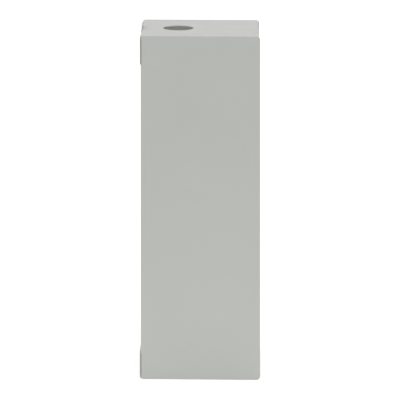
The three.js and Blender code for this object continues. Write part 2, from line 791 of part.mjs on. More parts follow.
// Rivet profiles: radius, y from the back of the plate the rivet holds.
const HASP_RIVET = [
  [0, -3.4], [1.6, -3.2], [2.9, -2.4], [3.3, -1.7], [1.6, -1.7], [1.6, -0.1], [0, -0.1],
];
const STAPLE_RIVET = [
  [0, -3.8], [1.6, -3.6], [2.8, -2.9], [3.2, -2.2], [1.7, -2.2], [1.7, -0.2], [0, -0.2],
];

function rivets(name, profile, seat, { xs, z }) {
  const placed = profile.map(([r, y]) => [r, seat + y]);
  xs.forEach((x, i) => piece(`${name}_${i + 1}`, ring("y", placed, x, z, 16), "screw"));
}
rivets("hasp_rivet", HASP_RIVET, HASP_SEAT, HASP_RIVETS);

// ---------------------------------------------------------------- staple on the bottom wall
const STAPLE_SEAT = Y_STOP - FIT;
const STAPLE_RIVETS = { xs: [-8.5, 8.5], z: 15 };

function latchStaple() {
  const tongueFront = Y_FRONT + 0.7;
  const tongueBack = Y_STOP - 1.3;
  const tongue = rounded([
    [tongueFront, 17, 4],
    [tongueBack, 17],
    [tongueBack, 33],
    [tongueFront, 33, 4],
  ]);
  const { xs, z } = STAPLE_RIVETS;
  return cut(
    add(
      alongY(roundRect(-13, 13, 9, 39, 2, 4, 3), STAPLE_SEAT - 2, STAPLE_SEAT),
      alongX(tongue, -1.5, 1.5),
    ),
    rod("x", 3.9, -5, 5, Y_FRONT + 7, 25, 20),
    ...xs.map((x) => rod("y", 1.9, -95, -85, x, z, 16)),
  );
}
piece("latch_staple", latchStaple(), "zinc");
rivets("staple_rivet", STAPLE_RIVET, STAPLE_SEAT, STAPLE_RIVETS);

export default group;
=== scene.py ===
"""Looks for the meter socket enclosure: finishes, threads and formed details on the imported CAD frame. Metres, +Z up, +Y to the wall."""
import bpy, bmesh, json, math
from mathutils import Vector, Matrix

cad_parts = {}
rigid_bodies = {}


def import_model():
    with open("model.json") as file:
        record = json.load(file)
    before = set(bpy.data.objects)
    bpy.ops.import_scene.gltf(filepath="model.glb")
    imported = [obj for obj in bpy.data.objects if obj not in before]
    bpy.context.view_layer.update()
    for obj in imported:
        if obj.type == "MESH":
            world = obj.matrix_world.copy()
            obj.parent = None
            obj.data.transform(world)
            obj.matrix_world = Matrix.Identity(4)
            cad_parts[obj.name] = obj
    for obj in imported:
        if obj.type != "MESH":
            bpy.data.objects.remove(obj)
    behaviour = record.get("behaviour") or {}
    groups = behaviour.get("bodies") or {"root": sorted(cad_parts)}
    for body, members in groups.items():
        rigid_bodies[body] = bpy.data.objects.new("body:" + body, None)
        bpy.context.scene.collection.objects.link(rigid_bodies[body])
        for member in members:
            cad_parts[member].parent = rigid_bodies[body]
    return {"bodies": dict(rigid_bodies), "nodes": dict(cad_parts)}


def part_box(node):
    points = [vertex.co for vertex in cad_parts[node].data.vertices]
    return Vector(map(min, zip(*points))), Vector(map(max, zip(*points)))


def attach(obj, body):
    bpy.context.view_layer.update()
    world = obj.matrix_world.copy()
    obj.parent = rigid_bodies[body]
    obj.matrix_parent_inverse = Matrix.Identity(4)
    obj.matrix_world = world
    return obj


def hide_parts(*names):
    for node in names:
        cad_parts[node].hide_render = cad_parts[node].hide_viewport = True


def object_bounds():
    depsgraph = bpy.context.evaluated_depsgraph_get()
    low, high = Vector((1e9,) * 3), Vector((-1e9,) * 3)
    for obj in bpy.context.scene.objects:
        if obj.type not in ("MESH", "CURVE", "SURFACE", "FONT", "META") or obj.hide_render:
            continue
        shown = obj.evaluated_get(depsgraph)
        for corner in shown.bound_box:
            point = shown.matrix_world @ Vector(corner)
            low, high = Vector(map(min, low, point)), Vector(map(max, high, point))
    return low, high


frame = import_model()
CAD_BOX = [list(map(float, v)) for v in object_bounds()]
NODES, BODIES = frame["nodes"], frame["bodies"]
BODY_OF = {n: next(b for b, e in BODIES.items() if o.parent is e) for n, o in NODES.items()}
TAU = 2 * math.pi


# ------------------------------------------------------------------ materials
class Tree:
    """A small helper that builds one material's node tree."""

    def __init__(self, name):
        self.mat = bpy.data.materials.new(name)
        self.mat.use_nodes = True
        self.t = self.mat.node_tree
        self.t.nodes.clear()
        self.out = self.t.nodes.new("ShaderNodeOutputMaterial")
        self.b = self.t.nodes.new("ShaderNodeBsdfPrincipled")
        self.t.links.new(self.b.outputs[0], self.out.inputs[0])
        self.tc = self.t.nodes.new("ShaderNodeTexCoord").outputs["Object"]

    def link(self, a, b):
        self.t.links.new(a, b)

    def put(self, sock, v):
        if isinstance(v, bpy.types.NodeSocket):
            self.link(v, sock)
        elif v is not None:
            sock.default_value = v

    def scaled(self, s):
        n = self.t.nodes.new("ShaderNodeMapping")
        self.link(self.tc, n.inputs["Vector"])
        n.inputs["Scale"].default_value = s
        return n.outputs[0]

    def noise(self, scale, detail=2.0, rough=0.5, vec=None, distort=0.0):
        n = self.t.nodes.new("ShaderNodeTexNoise")
        self.put(n.inputs["Vector"], vec or self.tc)
        n.inputs["Scale"].default_value = scale
        n.inputs["Detail"].default_value = detail
        n.inputs["Roughness"].default_value = rough
        n.inputs["Distortion"].default_value = distort
        return n.outputs[0]

    def cells(self, scale, vec=None, feature="F1"):
        n = self.t.nodes.new("ShaderNodeTexVoronoi")
        n.feature = feature
        self.put(n.inputs["Vector"], vec or self.tc)
        n.inputs["Scale"].default_value = scale
        return n

    def span(self, v, a, b, c=0.0, d=1.0):
        n = self.t.nodes.new("ShaderNodeMapRange")
        n.clamp = True
        self.put(n.inputs[0], v)
        for i, x in enumerate((a, b, c, d)):
            self.put(n.inputs[i + 1], x)
        return n.outputs[0]

    def math(self, op, a, b=None, c=None):
        n = self.t.nodes.new("ShaderNodeMath")
        n.operation = op
        self.put(n.inputs[0], a)
        self.put(n.inputs[1], b)
        self.put(n.inputs[2], c)
        return n.outputs[0]

    def mix(self, f, a, b, kind="MIX"):
        n = self.t.nodes.new("ShaderNodeMix")
        n.data_type = "RGBA"
        n.blend_type = kind
        self.put(n.inputs[0], f)
        self.put(n.inputs[6], rgba(a))
        self.put(n.inputs[7], rgba(b))
        return n.outputs[2]

    def bump(self, h, distance, strength=1.0, normal=None):
        n = self.t.nodes.new("ShaderNodeBump")
        self.put(n.inputs["Height"], h)
        n.inputs["Distance"].default_value = distance
        n.inputs["Strength"].default_value = strength
        if normal is not None:
            self.link(normal, n.inputs["Normal"])
        return n.outputs[0]

    def edges(self, radius, gain=6.0):
        """1 on sharp outer edges, 0 on flats."""
        bv = self.t.nodes.new("ShaderNodeBevel")
        bv.samples = 4
        bv.inputs["Radius"].default_value = radius
        geo = self.t.nodes.new("ShaderNodeNewGeometry")
        dot = self.t.nodes.new("ShaderNodeVectorMath")
        dot.operation = "DOT_PRODUCT"
        self.link(bv.outputs[0], dot.inputs[0])
        self.link(geo.outputs["Normal"], dot.inputs[1])
        return self.span(dot.outputs["Value"], 1.0, 1.0 - 1.0 / gain, 0.0, 1.0)

    def crevice(self, distance):
        # Ambient occlusion; the materials below use it to paint shade into crevices and hollows.
        n = self.t.nodes.new("ShaderNodeAmbientOcclusion")
        n.samples = 4
        n.inputs["Distance"].default_value = distance
        return n.outputs["AO"]

    def set(self, **kw):
        names = {"color": "Base Color", "rough": "Roughness", "metal": "Metallic", "normal": "Normal",
                 "spec": "Specular IOR Level", "aniso": "Anisotropic", "coat": "Coat Weight",
                 "coat_rough": "Coat Roughness", "sss": "Subsurface Weight"}
        for k, v in kw.items():
            self.put(self.b.inputs[names[k]], rgba(v) if k == "color" else v)
        return self.mat


def rgba(c):
    return (*c, 1.0) if isinstance(c, tuple) and len(c) == 3 else c


def tint(c, k):
    return tuple(x * k for x in c)


PAINT = (0.3675, 0.3830, 0.3525)


def paint(name, base=PAINT, crevice_shade=1.0):
    """Powder coat: orange peel at 1 to 2 mm, fine texture, a thin painted highlight on the edges, painted shade in the
    corners.
    """
    m = Tree(name)
    broad = m.span(m.noise(5.5, 3, 0.55), 0.3, 0.7, 0.0, 1.0)
    col = m.mix(broad, tint(base, 0.982), tint(base, 1.014))
    fine = m.span(m.noise(1500, 1, 0.5), 0.35, 0.65, 0.0, 1.0)
    col = m.mix(m.math("MULTIPLY", fine, 0.28), col, tint(base, 1.06))
    # Painted highlight: sharp outer edges are lightened, broken into patches by a noise mask.
    edge = m.edges(0.0009, 5.0)
    highlight_breakup = m.span(m.noise(260, 4, 0.7), 0.42, 0.62, 0.0, 1.0)
    col = m.mix(m.math("MULTIPLY", m.math("MULTIPLY", edge, highlight_breakup), 0.3), col, tint(base, 1.22))
    # Painted shade: the colour darkens towards a dark grey-brown where ambient occlusion finds crevices and corners.
    ao = m.crevice(0.012)
    col = m.mix(m.span(ao, 0.25, 0.85, 0.22 * crevice_shade, 0.0), col, tint((0.30, 0.29, 0.26), 0.9))
    peel = m.noise(330, 2, 0.45)
    tex = m.noise(1300, 2, 0.6)
    n = m.bump(peel, 0.00012, 0.55)
    n = m.bump(tex, 0.00003, 0.5, n)
    rough = m.math("ADD", m.span(m.noise(24, 3, 0.6), 0.3, 0.7, 0.46, 0.54), m.math("MULTIPLY", edge, -0.06))
    return m.set(color=col, rough=rough, metal=0.0, spec=0.42, normal=n)


def plated(name, base, rough=0.34, spangle=0.0, grain=(1, 1, 1), tarnish=0.1, dark=None):
    """Plated or bare metal with a rolled grain, handling marks, a painted highlight on sharp edges and painted shade in
    the hollows.
    """
    m = Tree(name)
    lines = m.noise(1500, 3, 0.55, m.scaled(grain))
    patch = m.noise(38, 4, 0.6, distort=0.4)
    col = m.mix(m.span(patch, 0.3, 0.7, 0.0, 1.0), tint(base, 1 - tarnish), tint(base, 1.03))
    if dark:
        col = m.mix(m.span(m.noise(95, 5, 0.7), 0.52, 0.72, 0.0, 0.55), col, dark)
    r = m.span(lines, 0.25, 0.75, rough - 0.07, rough + 0.09)
    if spangle:
        v = m.cells(150)
        tone = m.span(v.outputs["Color"], 0.0, 1.0, 1 - spangle, 1 + spangle)
        col = m.mix(1.0, col, m.mix(1.0, (1, 1, 1), tone, "MULTIPLY"), "MULTIPLY")
        r = m.math("ADD", r, m.span(v.outputs["Distance"], 0.0, 1.0, -0.05, 0.05))
    # Painted highlight: sharp outer edges are lightened.
    edge = m.edges(0.0005, 4.0)
    col = m.mix(m.math("MULTIPLY", edge, 0.5), col, tint(base, 1.25))
    # Painted shade: the colour darkens towards a dark tone of the metal where ambient occlusion finds hollows.
    ao = m.crevice(0.004)
    col = m.mix(m.span(ao, 0.2, 0.8, 0.55, 0.0), col, tint(base, 0.35))
    n = m.bump(lines, 0.000012, 0.45)
    n = m.bump(m.noise(160, 2, 0.5), 0.00004, 0.35, n)
    return m.set(color=col, rough=r, metal=0.95, aniso=0.25, normal=n)


def moulded(name, base, rough=0.5, grit=0.35, gloss=0.0, ripple=0.00006):
    """Moulded plastic: flow mottling, mineral grit, a painted highlight on the edges, painted shade in the crevices."""
    m = Tree(name)
    flow = m.noise(45, 5, 0.6, m.scaled((1, 1, 0.35)), distort=1.2)
    col = m.mix(m.span(flow, 0.3, 0.7, 0.0, 1.0), tint(base, 0.82), tint(base, 1.18))
    fleck = m.span(m.cells(1100).outputs["Distance"], 0.0, 0.28, 1.0, 0.0)
    col = m.mix(m.math("MULTIPLY", fleck, grit), col, tuple(min(1, x * 2.1 + 0.01) for x in base))
    # Painted highlight: sharp outer edges are lightened.
    edge = m.edges(0.0006, 4.0)
    col = m.mix(m.math("MULTIPLY", edge, 0.35), col, tuple(min(1, x * 1.7 + 0.01) for x in base))
    # Painted shade: the colour darkens where ambient occlusion finds crevices.
    ao = m.crevice(0.006)
    col = m.mix(m.span(ao, 0.2, 0.85, 0.45, 0.0), col, tint(base, 0.35))
    n = m.bump(m.noise(210, 3, 0.5), ripple, 0.6)
    n = m.bump(m.noise(1600, 2, 0.6), 0.00002, 0.5, n)
    r = m.span(m.noise(70, 3, 0.6), 0.3, 0.7, rough - 0.06, rough + 0.08)
    return m.set(color=col, rough=r, metal=0.0, spec=0.5, coat=gloss, coat_rough=0.18, normal=n)


MAT = {
    "paint": paint("grey_powder_coat"),
    "zinc": plated("zinc_plated_sheet", (0.56, 0.575, 0.58), 0.34, 0.06, (1, 1, 0.06), 0.14),
    "lever_zinc": plated("zinc_plated_strap", (0.58, 0.59, 0.59), 0.30, 0.0, (1, 0.08, 0.08), 0.12),
    "shaft": plated("turned_shaft", (0.52, 0.53, 0.54), 0.26, 0.0, (0.9, 0.05, 0.05), 0.12),
    "block": moulded("dark_phenolic", (0.040, 0.023, 0.018), 0.42, 0.35, 0.12),
    "fibre": moulded("red_brown_fibre", (0.165, 0.040, 0.024), 0.55, 0.25),
    "copper": plated("bare_copper", (0.80, 0.36, 0.20), 0.30, 0.0, (1, 1, 0.08), 0.22, (0.30, 0.115, 0.07)),
    "tin": plated("tin_plated_copper", (0.70, 0.695, 0.67), 0.27, 0.0, (1, 1, 0.1), 0.07, (0.60, 0.57, 0.52)),
    "aluminium": plated("extruded_aluminium", (0.66, 0.67, 0.68), 0.30, 0.0, (1, 1, 0.03), 0.08),
    "screw": plated("plated_screw", (0.44, 0.45, 0.46), 0.30, 0.0, (1, 0.1, 1), 0.16),
    "spring": plated("spring_steel", (0.26, 0.27, 0.30), 0.30, 0.0, (0.08, 1, 1), 0.22, (0.13, 0.12, 0.15)),
    "red": moulded("red_dipped_vinyl", (0.40, 0.016, 0.012), 0.30, 0.06, 0.45, 0.0002),
    "green": plated("green_bonding_screw", (0.045, 0.27, 0.085), 0.30, 0.0, (1, 0.2, 1), 0.18),
}


# ------------------------------------------------------------------ finishing the CAD nodes
def finish_node(o, mat, bevel=0.0004, segments=3, angle=28):
    """Welds and cleans the node's faces, rounds its edges, and gives it its finish. The node's own vertices stay as they are."""
    me = o.data
    if "custom_normal" in me.attributes:
        me.attributes.remove(me.attributes["custom_normal"])
    me.materials.clear()
    me.materials.append(mat)
    for p in me.polygons:
        p.material_index = 0
        p.use_smooth = True
    w = o.modifiers.new("weld", "WELD")
    w.merge_threshold = 2e-6
    if bevel:
        b = o.modifiers.new("edge_round", "BEVEL")
        b.width = bevel
        b.segments = segments
        b.limit_method = "ANGLE"
        b.angle_limit = math.radians(angle)
        b.use_clamp_overlap = True
        b.miter_outer = "MITER_ARC"
        b.harden_normals = True
    n = o.modifiers.new("weighted", "WEIGHTED_NORMAL")
    n.keep_sharp = True
    n.weight = 60


# ------------------------------------------------------------------ meshes built here
def new_piece(name, bm, body, mat, replaces=(), smooth=35):
    bmesh.ops.recalc_face_normals(bm, faces=bm.faces)
    me = bpy.data.meshes.new(name)
    bm.to_mesh(me)
    bm.free()
    for p in me.polygons:
        p.use_smooth = True
    me.set_sharp_from_angle(angle=math.radians(smooth))
    me.materials.append(mat)
    o = bpy.data.objects.new(name, me)
    bpy.context.scene.collection.objects.link(o)
    if replaces:
        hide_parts(*replaces)
    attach(o, body)
    return o


def bridge(bm, a, b):
    n = len(a)
    for i in range(n):
        bm.faces.new((a[i], a[(i + 1) % n], b[(i + 1) % n], b[i]))


def socket_screw(name, node, pitch=0.0011, af=0.0031, seg=60, slot_cut=False):
    """Set screw with a real helical thread, chamfered rim and a hexagon socket. Axis along Y, drive end at -Y."""
    lo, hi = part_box(node)
    cx, cz = (lo[0] + hi[0]) / 2, (lo[2] + hi[2]) / 2
    y0, y1 = lo[1], hi[1]
    r = (hi[0] - lo[0]) / 2 - 0.00012
    depth = 0.42 * pitch
    bm = bmesh.new()
    rings = []
    steps = int((y1 - y0 - 0.0012) / (pitch / 8))
    for j in range(steps + 1):
        y = y0 + 0.0008 + (y1 - y0 - 0.0012) * j / steps
        ring = []
        for i in range(seg):
            t = i / seg
            ph = ((y - y0) / pitch - t) % 1.0
            cut = depth * (1 - abs(2 * ph - 1))
            fade = min(1.0, (y - y0 - 0.0008) / (0.7 * pitch))
            rr = r - cut * fade - (0.0001 * (1 - fade))
            ring.append(bm.verts.new((cx + rr * math.cos(TAU * t), y, cz + rr * math.sin(TAU * t))))
        rings.append(ring)
    for a, b in zip(rings, rings[1:]):
        bridge(bm, a, b)

    def circle(rr, y):
        return [bm.verts.new((cx + rr * math.cos(TAU * i / seg), y, cz + rr * math.sin(TAU * i / seg))) for i in range(seg)]

    def hexa(apothem, y):
        out = []
        for i in range(seg):
            t = TAU * i / seg
            k = (t % (math.pi / 3)) - math.pi / 6
            rr = apothem / math.cos(k)
            out.append(bm.verts.new((cx + rr * math.cos(t), y, cz + rr * math.sin(t))))
        return out

    c1 = circle(r - 0.0006, y0 + 0.0001)
    c2 = circle(r - 0.0011, y0)
    h0 = hexa(af + 0.00022, y0)
    h1 = hexa(af, y0 + 0.0003)
    h2 = hexa(af, y0 + 0.0034)
    h3 = circle(af * 0.5, y0 + 0.0043)
    seq = [rings[0], c1, c2, h0, h1, h2, h3]
    for a, b in zip(seq, seq[1:]):
        bridge(bm, a, b)
    tip = bm.verts.new((cx, y0 + 0.0048, cz))
    for i in range(seg):
        bm.faces.new((h3[i], h3[(i + 1) % seg], tip))
    e1 = circle(r - 0.0009, y1)
    bridge(bm, rings[-1], e1)
    tail = bm.verts.new((cx, y1, cz))
    for i in range(seg):
        bm.faces.new((e1[i], e1[(i + 1) % seg], tail))
    return new_piece(name, bm, BODY_OF[node], MAT["screw"], (node,), 30)


def slot_screw(name, node, pitch=0.0012, seg=52):
    """Headless wire screw with a helical thread, a slot across its drive end and a cup point. Axis along Y, drive end at -Y."""
    lo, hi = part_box(node)
    cx, cz = (lo[0] + hi[0]) / 2, (lo[2] + hi[2]) / 2
    y0, y1 = lo[1], hi[1]
    r = (hi[0] - lo[0]) / 2 - 0.0001
    bm = bmesh.new()
    prof_rings = []

    def circle(rr, y):
        return [bm.verts.new((cx + rr * math.cos(TAU * i / seg), y, cz + rr * math.sin(TAU * i / seg))) for i in range(seg)]

    tip = bm.verts.new((cx, y0, cz))
    prof_rings.append(circle(r * 0.45, y0))
    prof_rings.append(circle(r - 0.0009, y0))
    prof_rings.append(circle(r - 0.0003, y0 + 0.0005))
    steps = int((y1 - y0 - 0.0022) / (pitch / 8))
    for j in range(steps + 1):
        y = y0 + 0.0018 + (y1 - y0 - 0.0030) * j / steps
        ring = []
        for i in range(seg):
            ph = ((y - y0) / pitch - i / seg) % 1.0
            f = min(1.0, j / 6, (steps - j) / 4)
            rr = r - 0.4 * pitch * (1 - abs(2 * ph - 1)) * f - 0.0001 * (1 - f)
            ring.append(bm.verts.new((cx + rr * math.cos(TAU * i / seg), y, cz + rr * math.sin(TAU * i / seg))))
        prof_rings.append(ring)
    prof_rings.append(circle(r - 0.0010, y1))
    prof_rings.append(circle(r * 0.45, y1))
    cup = bm.verts.new((cx, y1 - 0.0008, cz))
    for a, b in zip(prof_rings, prof_rings[1:]):
        bridge(bm, a, b)
    for ring, v in ((prof_rings[0], tip), (prof_rings[-1], cup)):
        for i in range(seg):
            bm.faces.new((ring[i], ring[(i + 1) % seg], v))
    bm = carve(bm, [brick(cx, y0 - 0.002, y0 + 0.0017, cz, 0.0006, 0.008, 0.35)])
    return new_piece(name, bm, BODY_OF[node], MAT["screw"], (node,), 30)


def domed_rivet(name, node, body, seg=40):
    """Rivet head turned from a curve, with a small drawn dimple, on its own shank."""
    lo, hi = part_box(node)
    cx, cz = (lo[0] + hi[0]) / 2, (lo[2] + hi[2]) / 2
    y0, y1 = lo[1], hi[1]
    r = (hi[0] - lo[0]) / 2
    rise = 0.0016
    prof = [(0.0003, y0 + 0.00028), (0.0007, y0 + 0.00005)]
    for k in range(9):
        a = (k / 8) * math.pi / 2
        prof.append((0.0008 + (r - 0.0008) * math.sin(a), y0 + rise * (1 - math.cos(a))))
    prof += [(r * 0.985, y0 + rise + 0.00008), (0.00155, y0 + rise + 0.00008), (0.00155, y1 - 0.0001), (0.0014, y1)]
    bm = bmesh.new()
    rings = [[bm.verts.new((cx + rr * math.cos(TAU * i / seg), y, cz + rr * math.sin(TAU * i / seg))) for i in range(seg)] for rr, y in prof]
    for a, b in zip(rings, rings[1:]):
        bridge(bm, a, b)
    for ring, y in ((rings[0], y0 + 0.00032), (rings[-1], y1)):
        v = bm.verts.new((cx, y, cz))
        for i in range(seg):
            bm.faces.new((ring[i], ring[(i + 1) % seg], v))
    return new_piece(name, bm, body, MAT["screw"], (node,), 40)


def hex_screw(name, node, body, head_y, mat="screw", washer=False, slotted=False, seg=48, thread_from=None, shank_r=0.0028, pitch=0.001):
    """Hexagon-headed screw facing -Y: chamfered head and threaded shank; the washer argument is not used."""
    lo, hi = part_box(node)
    cx, cz = (lo[0] + hi[0]) / 2, (lo[2] + hi[2]) / 2
    y0, y1 = lo[1], hi[1]
    af = (hi[0] - lo[0]) / 2 * (1.0 if (hi[0] - lo[0]) < (hi[2] - lo[2]) else math.cos(math.pi / 6))
    bm = bmesh.new()

    def circle(rr, y):
        return [bm.verts.new((cx + rr * math.cos(TAU * i / seg), y, cz + rr * math.sin(TAU * i / seg))) for i in range(seg)]

    def hexa(apothem, y, chamfer=0.0):
        # flats face +X and -X, corners up and down
        out = []
        for i in range(seg):
            t = TAU * i / seg
            k = ((t + math.pi / 6) % (math.pi / 3)) - math.pi / 6
            rr = apothem / math.cos(k)
            drop = max(0.0, (rr - apothem) * chamfer)
            out.append(bm.verts.new((cx + rr * math.cos(t), y + drop, cz + rr * math.sin(t))))
        return out

    seq = [circle(af * 0.45, y0 + 0.00035), circle(af * 0.62, y0 + 0.0003), circle(af * 0.72, y0), circle(af * 0.93, y0)]
    seq += [hexa(af * 0.985, y0 + 0.00035, 0.5), hexa(af, y0 + 0.0006, 0.55), hexa(af, head_y - 0.0002), hexa(af * 0.985, head_y)]
    r = shank_r
    seq += [circle(r, head_y)]
    n = max(4, int((y1 - head_y - 0.0006) / (pitch / 8)))
    for j in range(n + 1):
        y = head_y + 0.0002 + (y1 - head_y - 0.0008) * j / n
        ring = []
        for i in range(seg):
            ph = ((y - y0) / pitch - i / seg) % 1.0
            f = min(1.0, (y - head_y) / 0.0015)
            if thread_from is not None and y < thread_from:
                f = 0.0
            rr = r - 0.42 * pitch * (1 - abs(2 * ph - 1)) * f
            ring.append(bm.verts.new((cx + rr * math.cos(TAU * i / seg), y, cz + rr * math.sin(TAU * i / seg))))
        seq.append(ring)
    seq.append(circle(r - 0.0006, y1))
    for a, b in zip(seq, seq[1:]):
        bridge(bm, a, b)
    for ring, y in ((seq[0], y0 + 0.00035), (seq[-1], y1)):
        v = bm.verts.new((cx, y, cz))
        for i in range(seg):
            bm.faces.new((ring[i], ring[(i + 1) % seg], v))
    return new_piece(name, bm, body, MAT[mat], (node,), 32)


def hex_nut(name, node, body, seg=48):
    """Nut on a stud facing -Y: chamfered both sides, threaded bore."""
    lo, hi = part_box(node)
    cx, cz = (lo[0] + hi[0]) / 2, (lo[2] + hi[2]) / 2
    y0, y1 = lo[1], hi[1]
    af = (hi[0] - lo[0]) / 2
    bm = bmesh.new()

    def circle(rr, y):
        return [bm.verts.new((cx + rr * math.cos(TAU * i / seg), y, cz + rr * math.sin(TAU * i / seg))) for i in range(seg)]

    def hexa(y, sign):
        out = []
        for i in range(seg):
            t = TAU * i / seg
            k = ((t + math.pi / 6) % (math.pi / 3)) - math.pi / 6
            rr = af / math.cos(k)
            out.append(bm.verts.new((cx + rr * math.cos(t), y + sign * (rr - af) * 0.55, cz + rr * math.sin(t))))
        return out

    bore = 0.00272
    pitch = 0.0008
    seq = [circle(bore + 0.0003, y0), circle(af * 0.95, y0), hexa(y0 + 0.00025, 1), hexa(y1 - 0.00025, -1), circle(af * 0.95, y1), circle(bore + 0.0003, y1)]
    n = int((y1 - y0) / (pitch / 6))
    for j in range(1, n):
        y = y1 - (y1 - y0) * j / n
        seq.append([bm.verts.new((cx + rr * math.cos(TAU * i / seg), y, cz + rr * math.sin(TAU * i / seg)))
                    for i in range(seg) for rr in [bore + 0.35 * pitch * (1 - abs(2 * (((y - y0) / pitch - i / seg) % 1.0) - 1)) * 0.6]])
    seq.append(seq[0])
    for a, b in zip(seq, seq[1:]):
        bridge(bm, a, b)
    return new_piece(name, bm, body, MAT["screw"], (node,), 32)


def turned(bm, cx, cz, prof, seg=48):
    """Closed body turned about an axis along Y. Profile points are (radius, y), from the axis round to the axis."""
    rings = []
    for rr, y in prof:
        if rr < 1e-7:
            rings.append([bm.verts.new((cx, y, cz))])
        else:
            rings.append([bm.verts.new((cx + rr * math.cos(TAU * i / seg), y, cz + rr * math.sin(TAU * i / seg))) for i in range(seg)])
    for a, b in zip(rings, rings[1:]):
        for i in range(seg):
            j = (i + 1) % seg
            if len(a) == 1:
                bm.faces.new((a[0], b[j], b[i]))
            elif len(b) == 1:
                bm.faces.new((a[i], a[j], b[0]))
            else:
                bm.faces.new((a[i], a[j], b[j], b[i]))
    return bm


def slab(bm, pts, y0, y1):
    """Closed plate: an (x, z) outline drawn from y0 to y1."""
    a = [bm.verts.new((x, y0, z)) for x, z in pts]
    b = [bm.verts.new((x, y1, z)) for x, z in pts]
    bridge(bm, a, b)
    bm.faces.new(a)
    bm.faces.new(b[::-1])
    return bm


def brick(cx, y0, y1, cz, wx, wz, turn=0.0):
    """A block used as a cutter, turned about Y."""
    c, n = math.cos(turn), math.sin(turn)
    pts = [(cx + c * u - n * v, cz + n * u + c * v) for u, v in ((-wx, -wz), (wx, -wz), (wx, wz), (-wx, wz))]
    return slab(bmesh.new(), pts, y0, y1)


def soft_rect(cx, cz, hx, hz, r, seg=6):
    out = []
    for sx, sz, a0 in ((1, 1, 0), (-1, 1, 90), (-1, -1, 180), (1, -1, 270)):
        for k in range(seg + 1):
            a = math.radians(a0 + 90 * k / seg)
            out.append((cx + sx * (hx - r) + r * math.cos(a), cz + sz * (hz - r) + r * math.sin(a)))
    return out


def carve(bm, cutters, op="DIFFERENCE"):
    """Cuts closed cutters out of a closed mesh and gives the result back."""
    def temp(b, name):
        bmesh.ops.recalc_face_normals(b, faces=b.faces)
        me = bpy.data.meshes.new(name)
        b.to_mesh(me)
        b.free()
        o = bpy.data.objects.new(name, me)
        bpy.context.scene.collection.objects.link(o)
        return o
    base = temp(bm, "work")
    tools = [temp(c, f"tool_{i}") for i, c in enumerate(cutters)]
    for t in tools:
        m = base.modifiers.new("cut", "BOOLEAN")
        m.operation = op
        m.solver = "EXACT"
        m.object = t
    bpy.context.view_layer.update()
    dg = bpy.context.evaluated_depsgraph_get()
    me = bpy.data.meshes.new_from_object(base.evaluated_get(dg), depsgraph=dg)
    out = bmesh.new()
    out.from_mesh(me)
    bpy.data.meshes.remove(me)
    for o in (base, *tools):
        d = o.data
        bpy.data.objects.remove(o)
        bpy.data.meshes.remove(d)
    return out


def join_into(bm, other):
    """Adds another mesh's bodies to this one."""
    me = bpy.data.meshes.new("part")
    other.to_mesh(me)
    other.free()
    bm.from_mesh(me)
    bpy.data.meshes.remove(me)


def round_edges(o, width, segments=2, angle=32):
    b = o.modifiers.new("edge_round", "BEVEL")
    b.width = width
    b.segments = segments
    b.limit_method = "ANGLE"
    b.angle_limit = math.radians(angle)
    b.use_clamp_overlap = True
    b.miter_outer = "MITER_ARC"
    b.harden_normals = True
    n = o.modifiers.new("weighted", "WEIGHTED_NORMAL")
    n.keep_sharp = True


def pan_screw(name, cx, cz, seat, end, body, r=0.0042, turn=0.0, washer=0.0056):
    """Slotted pan-head screw on a plain washer, axis along Y, head towards -Y, its shank ending at `end`."""
    w = 0.0009
    h = 0.0027
    y = seat - w - 0.00003
    dome = [(0.0, y - h)]
    for k in range(1, 9):
        a = k / 8 * math.pi / 2
        dome.append((r * (0.55 + 0.45 * math.sin(a)) if k > 1 else r * 0.5, y - h * (0.45 + 0.55 * math.cos(a)) if k > 1 else y - h * 0.995))
    dome += [(r, y - 0.0002), (r - 0.0002, y), (0.0022, y), (0.0022, end - 0.0003), (0.0019, end), (0.0, end)]
    bm = carve(turned(bmesh.new(), cx, cz, dome, 56), [brick(cx, y - 0.006, y - h + 0.00135, cz, 0.00055, 0.008, turn)])
    ring = [(0.0025, seat - w), (washer - 0.0002, seat - w), (washer, seat - w + 0.0002), (washer, seat - 0.00023), (washer - 0.0002, seat - 0.00003), (0.0025, seat - 0.00003), (0.0025, seat - w)]
    loops = [[bm.verts.new((cx + rr * math.cos(TAU * i / 56), yy, cz + rr * math.sin(TAU * i / 56))) for i in range(56)] for rr, yy in ring[:-1]]
    for a, b in zip(loops, loops[1:] + loops[:1]):
        bridge(bm, a, b)
    return new_piece(name, bm, body, MAT["screw"], (), 35)


def spline(pts, n):
    """Smooth curve through the points (Catmull-Rom), n samples per span."""
    out = []
    q = [pts[0], *pts, pts[-1]]
    for i in range(1, len(q) - 2):
        p0, p1, p2, p3 = q[i - 1:i + 3]
        for k in range(n):
            t = k / n
            out.append(tuple(0.5 * (2 * b + (c - a) * t + (2 * a - 5 * b + 4 * c - d) * t * t + (3 * b - a - 3 * c + d) * t ** 3)
                             for a, b, c, d in zip(p0, p1, p2, p3)))
    out.append(tuple(pts[-1]))
    return out


